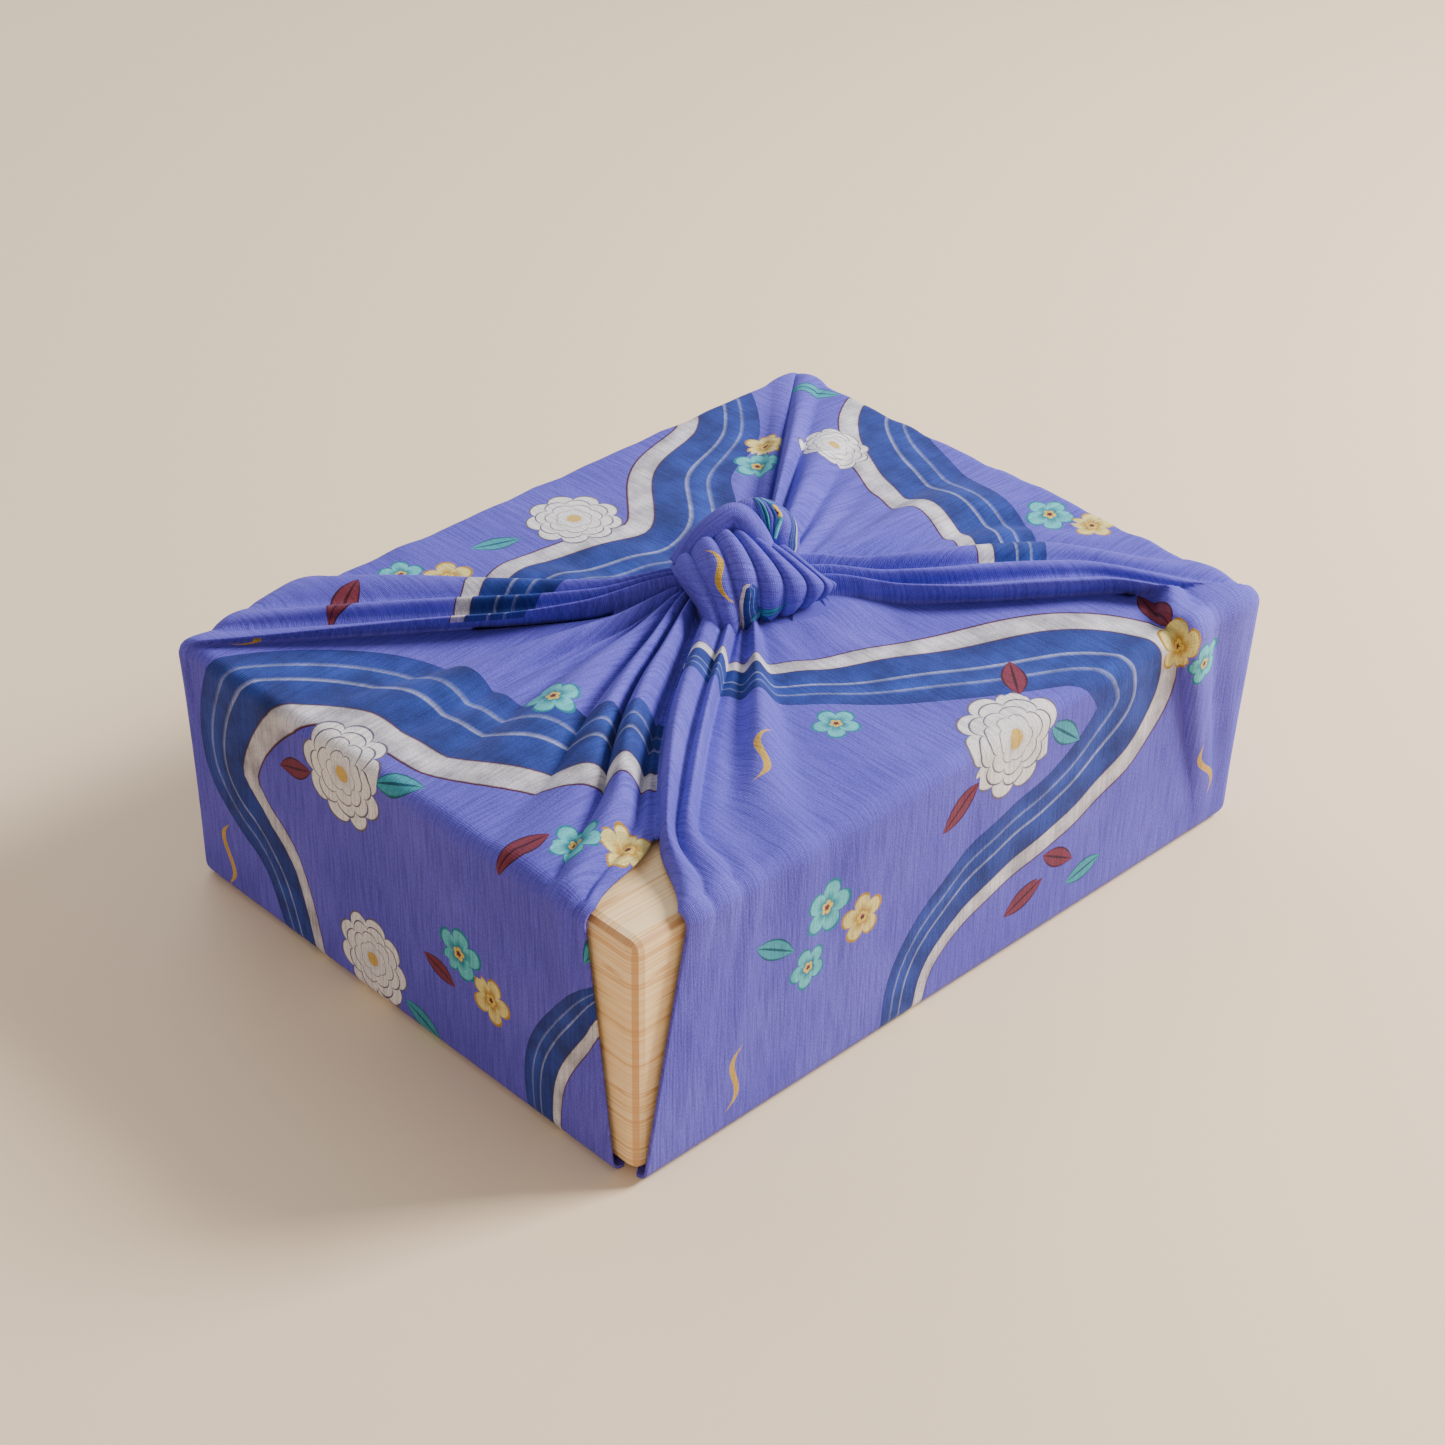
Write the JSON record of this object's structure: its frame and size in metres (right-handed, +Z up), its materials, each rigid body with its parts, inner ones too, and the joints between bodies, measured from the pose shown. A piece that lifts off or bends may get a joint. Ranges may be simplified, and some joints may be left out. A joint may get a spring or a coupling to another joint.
{
  "type": "furoshiki wrap with wooden box",
  "caption": "Square wrapping cloth tied over a flat wooden box, its folds drawn to a knot on top and parted at one corner, where the wood shows.",
  "frame": {"origin": "middle of the underside, on the surface that the wrap stands on", "axes": "+X along the box's longer side, +Y along its shorter side, +Z up through the knot; the corner where the wood shows is at -X -Y"},
  "size_m": [0.2828, 0.2205, 0.1263],
  "materials": {
    "cloth": "fine slubbed crepe, periwinkle purple with a multicoloured print",
    "wood": "planed pale softwood, waxed to a low sheen"
  },
  "bodies": {
    "root": {"cloth": "cloth", "box": "wood"}
  },
  "joints": []
}
